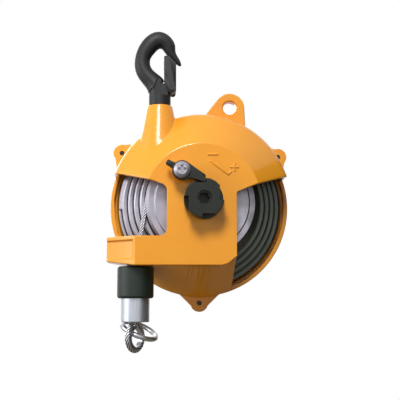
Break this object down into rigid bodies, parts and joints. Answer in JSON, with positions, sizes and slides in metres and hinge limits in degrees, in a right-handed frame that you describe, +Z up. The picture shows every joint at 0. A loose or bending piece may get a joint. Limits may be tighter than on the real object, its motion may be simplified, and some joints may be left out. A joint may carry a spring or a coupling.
{
  "type": "spring tool balancer",
  "caption": "Spring balancer: die-cast casing with windows, conical grooved rope drum, ratchet and pawl, swivel hook with latch, rope stopper, ferrule and loop with a ring.",
  "frame": {"origin": "the point inside the top of the upper hook's bowl where it bears on what it hangs from", "axes": "+Z up along the hook's shank, -Y towards the plate with the ratchet wheel, +X to the right of that face, the side away from the rope outlet; the drum's axis lies along Y"},
  "size_m": [0.1855, 0.1218, 0.3237],
  "materials": {
    "orange_enamel": "gloss enamel over a die casting",
    "forged_black": "satin black enamel over a forging",
    "latch_black": "satin black",
    "oiled_black": "blackened and oiled steel",
    "zinc_steel": "bright zinc plate",
    "spring_steel": "blued",
    "bronze": "plain bronze",
    "drum_aluminium": "as cast and turned",
    "wire_rope": "bright stranded wire",
    "ferrule_aluminium": "satin",
    "black_rubber": "matt",
    "guide_nylon": "matt"
  },
  "bodies": {
    "hook": {"upper_hook": "forged_black", "hook_nut": "zinc_steel", "hook_nut_pin": "zinc_steel", "latch_pin": "zinc_steel"},
    "latch": {"hook_latch": "latch_black", "latch_spring": "zinc_steel"},
    "housing": {"front_housing": "orange_enamel", "rear_cover": "orange_enamel", "cover_screws": "zinc_steel", "hook_thrust_washer": "zinc_steel", "front_spindle_bush": "bronze", "rear_spindle_bush": "bronze", "rope_guide_bush": "guide_nylon", "pawl_screw": "zinc_steel"},
    "drum": {"drum": "drum_aluminium", "drum_front_bush": "bronze", "drum_rear_bush": "bronze", "spring_lid": "drum_aluminium", "spring_lid_screws": "zinc_steel", "mainspring": "spring_steel", "wound_rope": "wire_rope"},
    "spindle": {"spindle": "zinc_steel", "spindle_circlips": "spring_steel", "ratchet_wheel": "oiled_black", "ratchet_key": "zinc_steel"},
    "pawl": {"pawl": "oiled_black"},
    "rope_end": {"rope_run": "wire_rope", "rubber_stopper": "black_rubber", "ferrule": "ferrule_aluminium", "rope_loop": "wire_rope", "thimble": "zinc_steel"},
    "ring": {"load_ring": "zinc_steel"}
  },
  "joints": [
    {"name": "hook_swivel", "type": "hinge", "parent": "hook", "child": "housing", "pos_m": [0, 0, -0.0602], "axis": [0, 0, 1], "continuous": true},
    {"name": "latch_pivot", "type": "hinge", "parent": "hook", "child": "latch", "pos_m": [0.0122, 0, -0.0432], "axis": [0, -1, 0], "range_deg": [0, 22], "stiffness_Nm_per_rad": 0.02, "springref_deg": -34.38},
    {"name": "drum_spin", "type": "hinge", "parent": "housing", "child": "drum", "pos_m": [0.042, -0.016, -0.1592], "axis": [0, -1, 0], "range_deg": [0, 1198.9]},
    {"name": "rope_travel", "type": "slide", "parent": "housing", "child": "rope_end", "axis": [0, 0, -1], "range_m": [0, 1.3], "deforming": ["rope_run"]},
    {"name": "ratchet_turn", "type": "hinge", "parent": "housing", "child": "spindle", "pos_m": [0.042, -0.034, -0.1592], "axis": [0, 1, 0], "range_deg": [0, 85]},
    {"name": "pawl_lift", "type": "hinge", "parent": "housing", "child": "pawl", "pos_m": [0.0209, -0.0415, -0.1322], "axis": [0, -1, 0], "range_deg": [0, 24]},
    {"name": "ring_swing", "type": "hinge", "parent": "rope_end", "child": "ring", "pos_m": [-0.02406, -0.0088, -0.2878], "axis": [-0.9627, 0.2704, 0], "range_deg": [0, 95]}
  ],
  "couplings": [
    {"joint": "rope_travel", "follows": "drum_spin", "m_per_rad": 0.0621},
    {"joint": "pawl_lift", "follows": "ratchet_turn", "ratio": 0.27}
  ]
}
